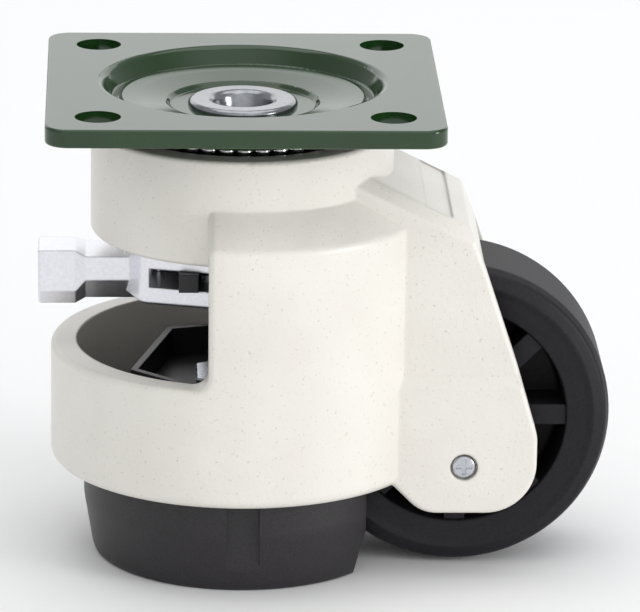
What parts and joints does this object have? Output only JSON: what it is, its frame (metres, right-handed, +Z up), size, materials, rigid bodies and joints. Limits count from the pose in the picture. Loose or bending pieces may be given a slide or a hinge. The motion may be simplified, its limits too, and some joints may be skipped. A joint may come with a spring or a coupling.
{
  "type": "levelling castor",
  "caption": "Swivel castor with a ratchet lever that screws a broad levelling foot down beside the wheel, on a square four-hole plate.",
  "frame": {"origin": "centre of the mounting plate's top face, on the swivel axis", "axes": "+Z up out of the plate along the swivel axis, +X towards the wheel, +Y along the axle; the lever points along -X at rest"},
  "size_m": [0.1393, 0.095, 0.1183],
  "materials": {
    "painted_steel": "gloss dark green enamel",
    "enamelled_aluminium": "fine textured ivory coat on a die casting",
    "cast_zinc": "satin silver casting",
    "zinc_steel": "bright zinc plate",
    "bearing_steel": "polished",
    "spring_steel": "blackened",
    "wheel_nylon": "moulded, satin",
    "foot_nylon": "moulded, fine grain",
    "black_nylon": "moulded"
  },
  "bodies": {
    "plate": {"top_plate": "painted_steel", "king_rivet": "zinc_steel", "lower_race": "bearing_steel"},
    "housing": {"housing": "enamelled_aluminium", "upper_race": "bearing_steel", "upper_balls": "bearing_steel", "lower_balls": "bearing_steel", "thrust_plate": "zinc_steel", "thrust_plate_screws": "zinc_steel", "thrust_washer": "bearing_steel", "axle": "zinc_steel", "axle_keepers": "black_nylon", "wheel_spacers": "zinc_steel", "retaining_screws": "zinc_steel"},
    "spindle": {"spindle": "zinc_steel", "spindle_clip": "spring_steel", "ratchet_gear": "bearing_steel", "lever_washer": "zinc_steel", "lever_clip": "spring_steel"},
    "lever": {"lever": "cast_zinc", "pawl_pin": "bearing_steel"},
    "selector": {"selector": "black_nylon"},
    "pawl": {"pawl": "bearing_steel"},
    "foot": {"foot_body": "foot_nylon", "foot_nut": "zinc_steel"},
    "wheel": {"wheel": "wheel_nylon", "wheel_bush": "bearing_steel"}
  },
  "joints": [
    {"name": "swivel", "type": "hinge", "parent": "plate", "child": "housing", "pos_m": [0, 0, -0.011], "axis": [0, 0, 1], "continuous": true},
    {"name": "wheel_spin", "type": "hinge", "parent": "housing", "child": "wheel", "pos_m": [0.05225, 0, -0.0802], "axis": [0, 1, 0], "continuous": true},
    {"name": "spindle_turn", "type": "hinge", "parent": "housing", "child": "spindle", "pos_m": [0, 0, -0.045], "axis": [0, 0, 1], "range_deg": [-720, 900]},
    {"name": "foot_slide", "type": "slide", "parent": "housing", "child": "foot", "axis": [0, 0, 1], "range_m": [-0.006, 0.0075]},
    {"name": "lever_swing", "type": "hinge", "parent": "housing", "child": "lever", "pos_m": [0, 0, -0.0457], "axis": [0, 0, 1], "range_deg": [-60, 60]},
    {"name": "selector_turn", "type": "hinge", "parent": "lever", "child": "selector", "pos_m": [0, 0, -0.0453], "axis": [0, 0, 1], "range_deg": [-8, 8]},
    {"name": "pawl_rock", "type": "hinge", "parent": "lever", "child": "pawl", "pos_m": [-0.0202, 0, -0.0453], "axis": [0, 0, 1], "range_deg": [-18, 18]}
  ],
  "couplings": [
    {"joint": "foot_slide", "follows": "spindle_turn", "m_per_rad": 0.00047746},
    {"joint": "pawl_rock", "follows": "selector_turn", "ratio": -1.25}
  ]
}
